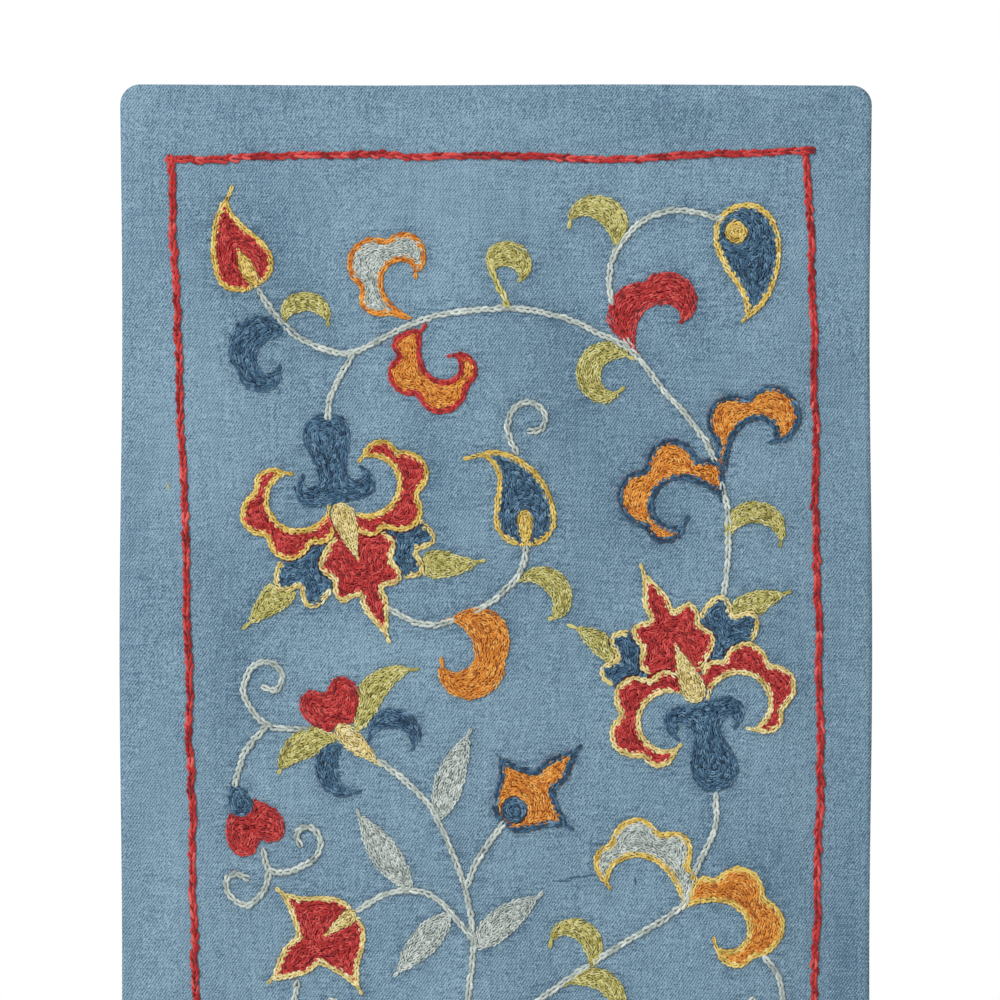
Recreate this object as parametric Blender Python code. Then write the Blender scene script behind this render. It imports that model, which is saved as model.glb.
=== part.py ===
"""Embroidered wall hanging: one blue twill cloth that hangs by its top edge, with its stitched flowers raised.

The cloth hangs in the XZ plane and its face looks towards -Y. The origin is the middle of its top edge.
Sizes are in millimetres: x runs right from the middle, and a drop runs down from the top edge.
"""

import math

import bmesh
import bpy
import numpy as np
from mathutils.geometry import delaunay_2d_cdt

MM = 0.001

# The cut cloth
WIDTH = 450.0
LENGTH = 700.0
THICKNESS = 1.5
CORNER_RADIUS = 12.0
CORNER_STEPS = 4
EDGE_WOBBLE = 0.8  # how far the cut edges wander
EDGE_STEP = 18.0  # spacing of the points along the edge
CELL = 17.0  # spacing of the plain cloth's points

# The stitched relief
RAISED = 1.0  # how far the filled stitching stands out
SLOPE = 1.1  # width of the slope round a filled area
STEM_WIDTH = 4.4
BORDER_WIDTH = 5.2
STEM_RAISED = 0.9
PIXEL = 0.75  # spacing of the fine grid on which outlines are found
MARGIN = 3.0  # how far round each shape that grid looks
TOLERANCE = 0.5  # how far an outline may stray from its curve
LONGEST = 15.0  # the longest straight piece of an outline, so that it follows the folds
SMALLEST = 12.0  # outlines shorter than this are left out

# Soft folds down the cloth. depth is how far a fold goes back at the bottom edge.
FOLD_COLUMNS = ("x", "lean", "width", "depth", "start")
FOLDS = [
    (-196, -6, 40, -3.0, 60),
    (-118, 14, 46, 3.6, 20),
    (-32, 10, 52, -3.2, 40),
    (58, -12, 48, 3.4, 90),
    (132, 16, 38, -3.0, 150),
    (206, -4, 34, 4.2, 30),
]

# Soft creases across the cloth, from one end to the other
CREASE_COLUMNS = ("x", "drop", "end_x", "end_drop", "width", "depth")
CREASES = [
    (-172, 52, -98, 146, 18, 1.4),
    (-40, 180, -46, 262, 19, 1.3),
    (46, 128, 52, 226, 20, 1.3),
    (-158, 292, -150, 400, 18, 1.3),
    (92, 214, 84, 300, 19, 1.2),
    (206, 420, 214, 560, 20, 1.5),
    (30, 470, 150, 590, 22, -1.2),
]

# The hand-stitched line round the edge, as (x, drop)
BORDER = [
    (-195, 45), (-100, 42), (20, 43), (60, 45), (186, 39),
    (191, 147), (192, 267), (195, 405), (191, 549), (190, 654),
    (40, 657), (-178, 655), (-180, 549), (-186, 273), (-191, 147),
]

# The vine and its tendrils, as lists of (x, drop)
STEMS = [
    [(-143, 122), (-134, 136), (-119, 151), (-101, 159), (-85, 160), (-60, 148), (-34, 138), (8, 134),
     (38, 139), (62, 149), (82, 160), (98, 180), (122, 208), (133, 230), (137, 246)],
    [(-85, 160), (-94, 176), (-100, 190), (-101, 204)],
    [(8, 134), (2, 122), (-3, 113)],
    [(82, 160), (74, 144), (69, 128), (68, 112), (73, 98), (86, 83), (101, 76), (118, 76), (139, 82)],
    [(137, 246), (139, 256), (139, 285), (136, 309)],
    [(13, 222), (7, 207), (10, 195), (20, 190), (29, 196), (28, 206), (20, 208)],
    [(18, 276), (14, 293), (-4, 311), (-28, 322), (-46, 323), (-65, 314)],
    [(-112, 387), (-137, 384), (-151, 367), (-148, 351), (-137, 346), (-128, 353), (-131, 363),
     (-139, 362)],
    [(-137, 384), (-150, 399), (-157, 420)],
    [(-71, 405), (-55, 417), (-40, 432), (-28, 456), (-19, 480), (-14, 507), (-14, 525), (-17, 549),
     (-18, 580)],
    [(-84, 496), (-67, 486), (-49, 483), (-34, 489), (-15, 511)],
    [(-18, 482), (-11, 465), (4, 443)],
    [(-140, 458), (-136, 471), (-124, 472), (-109, 464), (-105, 453), (-112, 445), (-120, 449),
     (-118, 456)],
    [(-136, 471), (-139, 483), (-148, 492), (-157, 489), (-162, 480), (-158, 473), (-149, 476)],
    [(132, 424), (131, 447), (119, 472), (112, 492), (80, 513), (56, 528), (26, 549), (-18, 580)],
    [(-119, 537), (-121, 556), (-112, 572), (-98, 571), (-91, 559), (-98, 549), (-106, 555)],
    [(160, 522), (169, 534), (172, 552), (164, 567), (151, 567), (146, 556), (154, 549)],
    [(-18, 580), (-16, 600), (-14, 622)],
    [(-16, 604), (-34, 612), (-52, 608), (-60, 596), (-52, 588)],
    [(-16, 604), (4, 613), (22, 610), (31, 598), (24, 590)],
]

# Petals and leaves. An edge of the given length sets out from (x, drop) towards heading, and turns through
# bend degrees, the more so near its tip the larger hook is. The width swells from a thin root to a thin end:
# root and end say how slowly. outer is the share of the width on the far side of the bend, which has lobes
# with notches between them.
PETAL_COLUMNS = (
    "name", "x", "drop", "heading", "length", "bend", "hook", "width", "root", "end", "outer", "lobes", "notch",
)
PETALS = [
    ("palmette_leaf_1", -120, 297, 218, 41, 10, 1.0, 18, 0.60, 1.25, 0.5, 0, 0),
    ("palmette_leaf_2", -48, 286, -12, 41, 26, 1.0, 17, 0.60, 1.30, 0.5, 0, 0),
    ("palmette_leaf_3", 77, 348, 131, 40, 26, 1.0, 15, 0.60, 1.15, 0.5, 0, 0),
    ("palmette_leaf_4", 140, 321, 38, 40, -26, 1.0, 17, 0.60, 1.25, 0.5, 0, 0),
    ("red_bud", -144, 122, 118, 65, -68, 3.6, 37, 0.50, 1.60, 0.5, 0, 0),
    ("olive_1", -127, 142, 46, 31, -110, 1.2, 12, 0.60, 0.80, 1.0, 0, 0),
    ("indigo_curl", -121, 149, 186, 50, 234, 2.0, 21, 1.15, 0.95, 1.0, 1.5, 0.35),
    ("pale_curl", -44, 142, 156, 67, -250, 2.1, 25, 1.90, 1.00, 1.0, 4, 0.40),
    ("orange_curl", -43.5, 145.5, -98, 62, 278, 2.2, 24, 0.60, 0.90, 1.0, 4, 0.38),
    ("olive_2", -2, 112, 48, 22, -140, 1.1, 15, 0.50, 0.70, 1.0, 0, 0),
    ("olive_3", 72, 99, 112, 41, 140, 2.2, 16, 0.95, 1.15, 1.0, 0, 0),
    ("indigo_bud", 144, 71, -73, 74, -62, 3.5, 40, 0.50, 1.15, 0.5, 0, 0),
    ("red_curl", 84, 161, 96, 56, -190, 1.8, 24, 1.00, 0.75, 1.0, 1.7, 0.40),
    ("olive_4", 82, 164, 170, 44, 225, 1.5, 15, 1.10, 1.10, 1.0, 0, 0),
    ("orange_leaf", 138, 241, 86, 68, -220, 2.8, 26, 1.60, 0.75, 1.0, 3, 0.48),
    ("orange_hook", 135, 249, 137, 81, 280, 1.7, 26, 0.75, 1.00, 1.0, 4, 0.46),
    ("olive_5", 139, 274, 68, 43, -150, 1.1, 13, 0.90, 0.90, 1.0, 0, 0),
    ("blue_bud", 18, 277.5, 91, 78, 122, 2.5, 38, 0.50, 1.60, 0.5, 0, 0),
    ("olive_6", 13, 298, 2, 37, -125, 1.4, 14, 0.90, 0.80, 1.0, 0, 0),
    ("orange_plain", -28, 321, -29, 56, -226, 1.7, 24, 0.75, 0.95, 1.0, 2, 0.22),
    ("iris_leaf_right", -84, 388, 78, 57, -80, 1.5, 17, 0.60, 1.00, 0.5, 0, 0),
    ("iris_leaf_left", -93, 390, 186, 46, 66, 1.6, 17, 0.70, 0.90, 0.5, 0, 0),
    ("iris_horn_right", -76, 392, 50, 35, -140, 1.2, 12, 0.80, 0.80, 1.0, 0, 0),
    ("iris_horn_left", -92, 396, 242, 35, 112, 1.4, 13, 0.60, 0.90, 1.0, 0, 0),
    ("pale_leaf_1", -34, 441, 78, 56, -14, 1.0, 18, 0.70, 1.00, 0.5, 0, 0),
    ("pale_leaf_2", -50, 483, 130, 57, -10, 1.0, 18, 0.80, 1.00, 0.5, 0, 0),
    ("pale_leaf_3", -26, 496, 224, 51, 8, 1.0, 17, 0.80, 1.00, 0.5, 0, 0),
    ("pale_leaf_4", -13, 518, 46, 51, -14, 1.0, 18, 0.70, 1.00, 0.5, 0, 0),
    ("pale_lobes", 112, 493, 108, 71, 176, 1.8, 26, 0.95, 0.95, 1.0, 4, 0.36),
    ("orange_lobes", 112, 494, 18, 77, -268, 1.9, 26, 0.95, 1.15, 1.0, 4, 0.36),
    ("olive_7", 56, 532, 96, 39, 150, 1.9, 13, 0.90, 1.00, 1.0, 0, 0),
    ("olive_8", 42, 540, 2, 42, -115, 1.7, 13, 0.90, 0.90, 1.0, 0, 0),
    ("last_leaf_left", -17, 602, 205, 50, -35, 1.0, 15, 0.80, 0.90, 0.5, 0, 0),
    ("last_leaf_right", -16, 602, -22, 50, 35, 1.0, 15, 0.80, 0.90, 0.5, 0, 0),
    ("iris_cup", -69, 408, 139, 36, 0, 1.0, 13, 1.10, 0.50, 0.5, 0, 0),
    ("heart_cap", -158, 419, -68, 21, 0, 1.0, 15, 0.90, 0.50, 0.5, 0, 0),
]

# Flowers with two like halves, set down at (x, drop) and turned counterclockwise
FLOWER_COLUMNS = ("name", "kind", "x", "drop", "turn", "width", "length")
FLOWERS = [
    ("iris_heart", "heart", -90, 390, 26, 37, 34),
    ("red_tulip", "tulip", -84, 496, 129, 74, 67),
    ("orange_tulip", "tulip", 3, 443, -46, 58, 66),
    ("heart_bud", "heart", -156, 426, -152, 36, 37),
    ("last_bud", "heart", -14, 620, 180, 24, 22),
]

# The two large flowers, each a set of the pieces below, set down at (x, drop) and turned
PALMETTE_COLUMNS = ("x", "drop", "turn")
PALMETTES = [
    (-94, 252, 199),
    (121, 369, 22),
]
PALMETTE_PETALS = [
    ("petal_left", -5, -4, 134, 71, 235, 1.15, 22, 0.70, 0.80, 1.0, 4, 0.44),
    ("petal_right", 6, 1, 46, 73, -234, 1.15, 21, 0.70, 0.80, 1.0, 4, 0.44),
]
PALMETTE_FLOWERS = [
    ("side_left", "heart", -6, -17, 50, 37, 47),
    ("side_right", "heart", 9, -14, -50, 37, 48),
    ("crown", "crown", 0, -2, 1, 48, 85),
    ("vase", "vase", 1, 1, -10, 47, 55),
]

# Right halves of the flowers' outlines, as shares of width and length, and whether the outline has a corner
HALF_COLUMNS = ("across", "along", "corner")
HALVES = {
    "heart": [
        (0.00, 0.00, 1), (0.20, 0.16, 0), (0.42, 0.42, 0), (0.50, 0.70, 0), (0.40, 0.93, 0),
        (0.20, 0.98, 0), (0.00, 0.82, 1),
    ],
    "tulip": [
        (0.00, 0.00, 0), (0.16, 0.03, 0), (0.27, 0.14, 0), (0.38, 0.30, 0), (0.54, 0.42, 1),
        (0.34, 0.47, 0), (0.15, 0.55, 1), (0.14, 0.72, 0), (0.00, 1.00, 1),
    ],
    "crown": [
        (0.00, 0.00, 0), (0.12, 0.03, 0), (0.24, 0.17, 0), (0.44, 0.27, 0), (0.51, 0.36, 0), (0.40, 0.47, 1),
        (0.45, 0.56, 0), (0.38, 0.64, 0), (0.16, 0.63, 1), (0.17, 0.74, 0), (0.09, 0.86, 0), (0.00, 1.00, 1),
    ],
    "vase": [
        (0.00, 0.00, 0), (0.20, -0.01, 0), (0.42, -0.03, 0), (0.52, -0.14, 0), (0.48, -0.30, 0),
        (0.38, -0.35, 1), (0.36, -0.24, 0), (0.24, -0.24, 0), (0.18, -0.36, 0), (0.25, -0.56, 0),
        (0.31, -0.76, 0), (0.22, -0.94, 0), (0.00, -1.00, 0),
    ],
}


def rows(columns, table):
    return [dict(zip(columns, row)) for row in table]


def spline(points, per=8):
    """Points along a smooth curve through the given ones, per of them to a gap."""
    p = np.asarray(points, float)
    p = np.concatenate([[2 * p[0] - p[1]], p, [2 * p[-1] - p[-2]]])
    t = np.linspace(0, 1, per, endpoint=False)[:, None]
    curve = [
        0.5 * (2 * b + (c - a) * t + (2 * a - 5 * b + 4 * c - d) * t**2 + (3 * b - a - 3 * c + d) * t**3)
        for a, b, c, d in zip(p, p[1:], p[2:], p[3:])
    ]
    return np.concatenate(curve + [p[-2:-1]])


def placed(loop, x, drop, turn):
    """A loop turned counterclockwise about its own origin and set down at (x, drop)."""
    c, s = math.cos(math.radians(turn)), math.sin(math.radians(turn))
    return loop @ np.array([[c, s], [-s, c]]) + [x, -drop]


def petal(row, points=48):
    """The closed outline of a petal or leaf."""
    s = np.linspace(0, 1, points)
    ahead = np.exp(1j * np.radians(row["heading"] + row["bend"] * s ** row["hook"]))
    edge = np.concatenate([[0], np.cumsum((ahead[1:] + ahead[:-1]) / 2)]) * row["length"] / (points - 1)
    edge = edge + complex(row["x"], -row["drop"])
    away = ahead * (-1j if row["bend"] > 0 else 1j)
    peak = row["root"] / (row["root"] + row["end"])
    swell = (s / peak) ** row["root"] * ((1 - s) / (1 - peak)) ** row["end"] * row["width"]
    lobe = 1 - row["notch"] * (1 - np.abs(np.sin(math.pi * row["lobes"] * s)) ** 0.8) if row["lobes"] else 1
    outside = edge + away * swell * row["outer"] * lobe
    inside = edge - away * swell * (1 - row["outer"])
    loop = np.concatenate([outside, inside[-2:0:-1]])
    return np.stack([loop.real, loop.imag], 1)


def flower(row):
    """The closed outline of a flower with two like halves."""
    half = rows(HALF_COLUMNS, HALVES[row["kind"]])
    last = len(half) - 1
    cuts = [0] + [i for i in range(1, last) if half[i]["corner"]] + [last]
    side = []
    for a, b in zip(cuts, cuts[1:]):
        part = [(h["across"], h["along"]) for h in half[a : b + 1]]
        rounds = [a == 0 and not half[0]["corner"], b == last and not half[last]["corner"]]
        lead = [(-part[1][0], part[1][1])] if rounds[0] else []
        tail = [(-part[-2][0], part[-2][1])] if rounds[1] else []
        curve = spline(lead + part + tail)
        curve = curve[8 if rounds[0] else 0 : len(curve) - (8 if rounds[1] else 0)]
        side.append(curve if b == last else curve[:-1])
    side = np.concatenate(side)
    loop = np.concatenate([side, side[-2:0:-1] * [-1, 1]]) * [row["width"], row["length"]]
    return placed(loop, row["x"], row["drop"], row["turn"])


def filled_outlines():
    """The outlines of all filled motifs."""
    loops = [petal(row) for row in rows(PETAL_COLUMNS, PETALS)]
    loops += [flower(row) for row in rows(FLOWER_COLUMNS, FLOWERS)]
    pieces = [petal(row) for row in rows(PETAL_COLUMNS, PALMETTE_PETALS)]
    pieces += [flower(row) for row in rows(FLOWER_COLUMNS, PALMETTE_FLOWERS)]
    for at in rows(PALMETTE_COLUMNS, PALMETTES):
        loops += [placed(piece, at["x"], at["drop"], at["turn"]) for piece in pieces]
    return loops


def stitched_lines():
    """The stems and the border, as (points, half width)."""
    lines = [(spline([(x, -drop) for x, drop in stem]), STEM_WIDTH / 2) for stem in STEMS]
    corners = [(x, -drop) for x, drop in BORDER + BORDER[:1]]
    for a, b in zip(corners, corners[1:]):
        lines.append((np.linspace(a, b, 17), BORDER_WIDTH / 2))
    return lines


def thinned(points):
    """The points of an open line that it needs to stay near its curve and to follow the folds."""
    if len(points) < 3:
        return points
    a, b = points[0], points[-1]
    span = np.linalg.norm(b - a)
    if span < PIXEL:
        off = np.linalg.norm(points - a, axis=1)
    else:
        off = np.abs((b[0] - a[0]) * (points[:, 1] - a[1]) - (b[1] - a[1]) * (points[:, 0] - a[0])) / span
    far = int(off.argmax())
    if off[far] <= TOLERANCE:
        if span <= LONGEST:
            return np.stack([a, b])
        far = len(points) // 2
    return np.concatenate([thinned(points[: far + 1])[:-1], thinned(points[far:])])


def distance(points, line):
    """How far each point is from a line."""
    a, b = line[:-1], line[1:]
    along = b - a
    share = ((points[:, None] - a) * along).sum(2) / np.maximum((along**2).sum(1), 1e-12)
    nearest = a + share.clip(0, 1)[..., None] * along
    return np.linalg.norm(points[:, None] - nearest, axis=2).min(1)


def within(points, loop):
    """Whether each point is inside a closed loop."""
    x, y = points[:, 0, None], points[:, 1, None]
    a, b = loop, np.roll(loop, -1, axis=0)
    spans = (a[:, 1] > y) != (b[:, 1] > y)
    rise = np.where(a[:, 1] == b[:, 1], 1, b[:, 1] - a[:, 1])
    return (spans & (x < a[:, 0] + (y - a[:, 1]) * (b[:, 0] - a[:, 0]) / rise)).sum(1) % 2 == 1


def depth_inside(points, loop):
    """How far each point is inside a closed loop, and less than 0 outside it."""
    away = distance(points, np.concatenate([loop, loop[:1]]))
    return np.where(within(points, loop), away, -away)


def relief(points, areas, lines):
    """How far the stitching stands out of the cloth at each point."""
    height = np.zeros(len(points))
    for loop in areas:
        height = np.maximum(height, RAISED * (depth_inside(points, loop) / SLOPE).clip(0, 1))
    for line, half in lines:
        height = np.maximum(height, STEM_RAISED * (1 - distance(points, line) / half).clip(0))
    return height


def fine_grid(shapes):
    """Over a fine grid, how far inside the nearest of the shapes each point is.

    A shape is (points, half width of the line through them), or (points, None) for a closed area.
    """
    xs = np.arange(-WIDTH / 2, WIDTH / 2, PIXEL)
    ys = np.arange(-LENGTH, 0, PIXEL)
    inside = np.full((len(ys), len(xs)), -MARGIN)
    for shape, half in shapes:
        low, high = shape.min(0) - MARGIN, shape.max(0) + MARGIN
        down = slice(*np.searchsorted(ys, [low[1], high[1]]))
        across = slice(*np.searchsorted(xs, [low[0], high[0]]))
        patch = np.stack(np.meshgrid(xs[across], ys[down]), -1)
        points = patch.reshape(-1, 2)
        depth = depth_inside(points, shape) if half is None else half - distance(points, shape)
        inside[down, across] = np.maximum(inside[down, across], depth.reshape(patch.shape[:2]))
    return xs, ys, inside


def level_lines(xs, ys, values, level):
    """The closed lines along which the values over a grid are at the level."""
    above = values > level
    links = {}
    mixed = (above[:-1, :-1] != above[:-1, 1:]) | (above[:-1, :-1] != above[1:, :-1])
    mixed |= above[:-1, :-1] != above[1:, 1:]
    for i, j in np.argwhere(mixed).tolist():
        sides = [(i, j, i, j + 1), (i, j + 1, i + 1, j + 1), (i + 1, j, i + 1, j + 1), (i, j, i + 1, j)]
        cut = [side for side in sides if above[side[0], side[1]] != above[side[2], side[3]]]
        for a, b in zip(cut[::2], cut[1::2]):
            links.setdefault(a, []).append(b)
            links.setdefault(b, []).append(a)
    found = []
    while links:
        here, path = next(iter(links)), []
        while here in links:
            path.append(here)
            here = next((side for side in links.pop(here) if side in links), None)
        a, b, c, d = np.array(path).T
        share = (level - values[a, b]) / (values[c, d] - values[a, b])
        line = np.stack([xs[b] + share * (xs[d] - xs[b]), ys[a] + share * (ys[c] - ys[a])], 1)
        found.append(np.concatenate([line, line[:1]]))
    return found


def hang(points):
    """How far the middle of the cloth goes back at each point."""
    x, drop = points[:, 0], -points[:, 1]
    back = np.zeros(len(points))
    for fold in rows(FOLD_COLUMNS, FOLDS):
        down = ((drop - fold["start"]) / (LENGTH - fold["start"])).clip(0, 1)
        middle = fold["x"] + fold["lean"] * drop / LENGTH
        back += fold["depth"] * down**0.8 * np.exp(-(((x - middle) / fold["width"]) ** 2))
    for crease in rows(CREASE_COLUMNS, CREASES):
        line = np.array([(crease["x"], -crease["drop"]), (crease["end_x"], -crease["end_drop"])], float)
        back += crease["depth"] * np.exp(-((distance(points, line) / crease["width"]) ** 2))
    return back


def cloth_edge():
    """The cut edge of the cloth, counterclockwise from its bottom left, with rounded corners."""
    w, r = WIDTH / 2, CORNER_RADIUS
    centres = [(w - r, r - LENGTH, -90), (w - r, -r, 0), (r - w, -r, 90), (r - w, r - LENGTH, 180)]
    arcs = []
    for x, y, start in centres:
        a = np.radians(np.linspace(start, start + 90, CORNER_STEPS + 1))
        arcs.append(np.stack([x + r * np.cos(a), y + r * np.sin(a)], 1))
    edge = []
    for arc, following in zip(arcs, arcs[1:] + arcs[:1]):
        count = int(np.linalg.norm(following[0] - arc[-1]) / EDGE_STEP)
        edge += [arc, np.linspace(arc[-1], following[0], count + 1)[1:-1]]
    edge = np.concatenate(edge)
    x, y = edge.T.copy()
    edge[:, 0] += EDGE_WOBBLE * np.sin(y / 61 + 0.8) * np.sign(x) * (np.abs(x) > w - r)
    edge[:, 1] += 0.4 * EDGE_WOBBLE * np.sin(x / 47) * (y > -r)
    edge[:, 1] += EDGE_WOBBLE * np.sin(x / 58 + 2) * (y < r - LENGTH)
    return edge


def plain_grid(edge):
    """Points over the plain cloth, clear of its edge."""
    across = int(WIDTH / CELL)
    down = int(LENGTH / CELL)
    xs = (np.arange(1, across) / across - 0.5) * WIDTH
    ys = -np.arange(1, down) / down * LENGTH
    grid = np.stack(np.meshgrid(xs, ys), -1).reshape(-1, 2)
    return grid[depth_inside(grid, edge) > CELL * 0.35]


def triangulated(edge, chains, loose):
    """Triangles over the cloth through its edge, the chains of points and the loose points.

    Returns the points, the triangles and the index of each edge point.
    """
    chains = [np.concatenate([edge, edge[:1]])] + chains
    points, links = [], []
    for number, chain in enumerate(chains):
        first = len(points)
        points += [tuple(p) for p in (chain[:-1] if number == 0 else chain)]
        links += [(first + i, first + i + 1) for i in range(len(chain) - 1)]
        if number == 0:
            links[-1] = (len(edge) - 1, 0)
    points += [tuple(p) for p in loose]
    verts, _, faces, origins, _, _ = delaunay_2d_cdt(points, links, [], 0, 1e-4)
    verts = np.array([tuple(v) for v in verts])
    at = {source: i for i, sources in enumerate(origins) for source in sources}
    faces = np.array([face for face in faces])
    faces = faces[within(verts[faces].mean(1), edge)]
    return verts, faces, [at[i] for i in range(len(edge))]


def relief_chains(areas, lines):
    """Chains of points along the foot, the shoulder and the ridge of the stitching."""
    foot = level_lines(*fine_grid([(loop, None) for loop in areas] + lines), 0)
    shoulder = level_lines(*fine_grid([(loop, None) for loop in areas]), SLOPE)
    chains = []
    for line in foot + shoulder:
        if np.linalg.norm(np.diff(line, axis=0), axis=1).sum() > SMALLEST:
            half = len(line) // 2
            chains.append(np.concatenate([thinned(line[: half + 1])[:-1], thinned(line[half:])]))
    for line, _ in lines:
        chain = thinned(line)
        buried = np.max([depth_inside(chain, area) for area in areas], axis=0) > SLOPE
        chains += [chain[i : i + 2] for i in range(len(chain) - 1) if not buried[i : i + 2].all()]
    return chains


def cloth_mesh():
    """The cloth as one closed solid: a face with its stitching raised, a plain back and the cut edge."""
    edge = cloth_edge()
    areas = filled_outlines()
    lines = stitched_lines()
    chains = relief_chains(areas, lines)
    taken = np.concatenate(chains)
    grid = plain_grid(edge)
    gap = np.array([np.linalg.norm(taken - p, axis=1).min() for p in grid])
    face, face_triangles, face_edge = triangulated(edge, chains, grid[gap > CELL * 0.3])
    back, back_triangles, back_edge = triangulated(edge, [], grid)
    face_y = hang(face) - THICKNESS / 2 - relief(face, areas, lines)
    back_y = hang(back) + THICKNESS / 2
    verts = np.concatenate([np.column_stack([face[:, 0], face_y, face[:, 1]]),
                            np.column_stack([back[:, 0], back_y, back[:, 1]])])
    first = len(face)
    faces = [tuple(t) for t in face_triangles]
    faces += [tuple(first + t[::-1]) for t in back_triangles]
    for i in range(len(edge)):
        j = (i + 1) % len(edge)
        faces.append((face_edge[i], first + back_edge[i], first + back_edge[j], face_edge[j]))
    mesh = bpy.data.meshes.new("hanging_cloth")
    mesh.from_pydata((verts * MM).tolist(), [], faces)
    work = bmesh.new()
    work.from_mesh(mesh)
    bmesh.ops.recalc_face_normals(work, faces=work.faces)
    bmesh.ops.triangulate(work, faces=[f for f in work.faces if len(f.verts) > 3])
    work.to_mesh(mesh)
    work.free()
    return mesh


def blue_cloth():
    """Faded blue cotton twill."""
    material = bpy.data.materials.new("blue_cloth")
    material.use_nodes = True
    shader = material.node_tree.nodes["Principled BSDF"]
    shader.inputs["Base Color"].default_value = (0.17, 0.28, 0.37, 1)
    shader.inputs["Roughness"].default_value = 0.92
    shader.inputs["Metallic"].default_value = 0.0
    return material


def main():
    for old in list(bpy.data.objects):
        bpy.data.objects.remove(old, do_unlink=True)
    mesh = cloth_mesh()
    mesh.materials.append(blue_cloth())
    cloth = bpy.data.objects.new("hanging_cloth", mesh)
    bpy.context.scene.collection.objects.link(cloth)


main()
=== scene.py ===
"""Embroidered wall hanging: blue twill with a chain-stitched vine, a fine sheet under real stitches.

Sizes are in millimetres unless a name says otherwise: x runs right from the middle of the cloth, and y is up
from its top edge, so that a drop of 30 is y = -30. The cloth's face looks towards -Y of the frame.
"""

import math
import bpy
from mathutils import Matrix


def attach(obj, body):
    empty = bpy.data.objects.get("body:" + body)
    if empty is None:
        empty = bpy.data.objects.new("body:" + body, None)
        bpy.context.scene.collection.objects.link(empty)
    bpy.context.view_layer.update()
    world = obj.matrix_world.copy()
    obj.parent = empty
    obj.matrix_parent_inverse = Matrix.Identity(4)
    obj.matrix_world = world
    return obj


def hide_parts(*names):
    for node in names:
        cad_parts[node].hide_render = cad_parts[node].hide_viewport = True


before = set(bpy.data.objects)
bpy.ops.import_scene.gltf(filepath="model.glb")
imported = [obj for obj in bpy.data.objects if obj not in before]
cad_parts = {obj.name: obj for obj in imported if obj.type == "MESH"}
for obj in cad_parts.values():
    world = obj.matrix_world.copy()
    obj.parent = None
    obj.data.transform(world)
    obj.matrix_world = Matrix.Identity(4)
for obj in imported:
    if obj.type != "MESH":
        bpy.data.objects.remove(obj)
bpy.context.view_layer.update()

from types import SimpleNamespace

import bpy
import numpy as np

MM = 0.001
SEED = 7
dice = np.random.default_rng(SEED)

# The cut cloth
WIDTH = 450.0
LENGTH = 700.0
CLOTH = 1.1  # thickness
CORNER = 12.0  # radius
WOBBLE = 0.8  # of its edges
SIDE_WAVE, TOP_WAVE, BOTTOM_WAVE = 61, 47, 58
EDGE_FADE = 14  # how far the wobble reaches in from the top and bottom edges
CELL = 3.4  # size of the sheet's faces
PUCKERS = [(0.12, 17, 3), (0.1, 7, 4)]  # height, size and seed
REACH = 14.0  # how far from the stitching the cloth still shows its puckers and the painted shade beside it
NEAR_FADE = 6.5  # how fast that fades
STEM_HALF = 2  # half a stem's width
SHADED_BED = (1.2, 2.0)  # how deep in a motif the cloth turns to the thread's dark tone, as painted shade in the gaps between the stitches, and over what distance

# Soft folds down the cloth. depth is how far a fold goes back at the bottom edge, and it grows by the power.
FOLD_POWER = 0.8
FOLD_COLUMNS = ("x", "lean", "width", "depth", "start")
FOLDS = [
    (-196, -6, 40, -3.0, 60),
    (-118, 14, 46, 3.6, 20),
    (-32, 10, 52, -3.2, 40),
    (58, -12, 48, 3.4, 90),
    (132, 16, 38, -3.0, 150),
    (206, -4, 34, 4.2, 30),
]

# Soft creases across the cloth, from one end to the other
CREASE_COLUMNS = ("x", "drop", "end_x", "end_drop", "width", "depth")
CREASES = [
    (-172, 52, -98, 146, 18, 1.4),
    (-40, 180, -46, 262, 19, 1.3),
    (46, 128, 52, 226, 20, 1.3),
    (-158, 292, -150, 400, 18, 1.3),
    (92, 214, 84, 300, 19, 1.2),
    (206, 420, 214, 560, 20, 1.5),
    (30, 470, 150, 590, 22, -1.2),
]

# Painted shade: soft darker places on the cloth, most of them along its creases, and a few lighter ones:
# middle, reach across and down, and how dark
SHADE_COLUMNS = ("x", "drop", "across", "down", "dark")
PAINTED_SHADES = [
    (-134, 100, 26, 44, 0.27),
    (-40, 224, 20, 46, 0.46),
    (47, 177, 20, 44, 0.43),
    (-154, 345, 18, 60, 0.41),
    (92, 249, 34, 40, 0.41),
    (116, 21, 46, 18, 0.35),
    (212, 500, 14, 110, 0.41),
    (158, 477, 30, 40, 0.41),
    (-196, 230, 16, 120, -0.22),
    (-60, 350, 60, 26, -0.22),
    (20, 400, 40, 60, -0.14),
    (-200, 520, 24, 90, -0.22),
]

# The hand-stitched line round the edge, as (x, drop)
BORDER = [
    (-195, 45), (-100, 42), (20, 43), (60, 45), (186, 39),
    (191, 147), (192, 267), (195, 405), (191, 549), (190, 654),
    (40, 657), (-178, 655), (-180, 549), (-186, 273), (-191, 147),
]

BORDER_CORNER = 170.0  # its corners are farther out than this
BORDER_TAIL = 3.4  # how far its upper and lower lines run on past its corners
BORDER_STEP = 6  # from one point of the line to the next
BORDER_WANDERS = ((0.7, 13.0), (0.35, 5.5))  # how far it strays, and over what length

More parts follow.
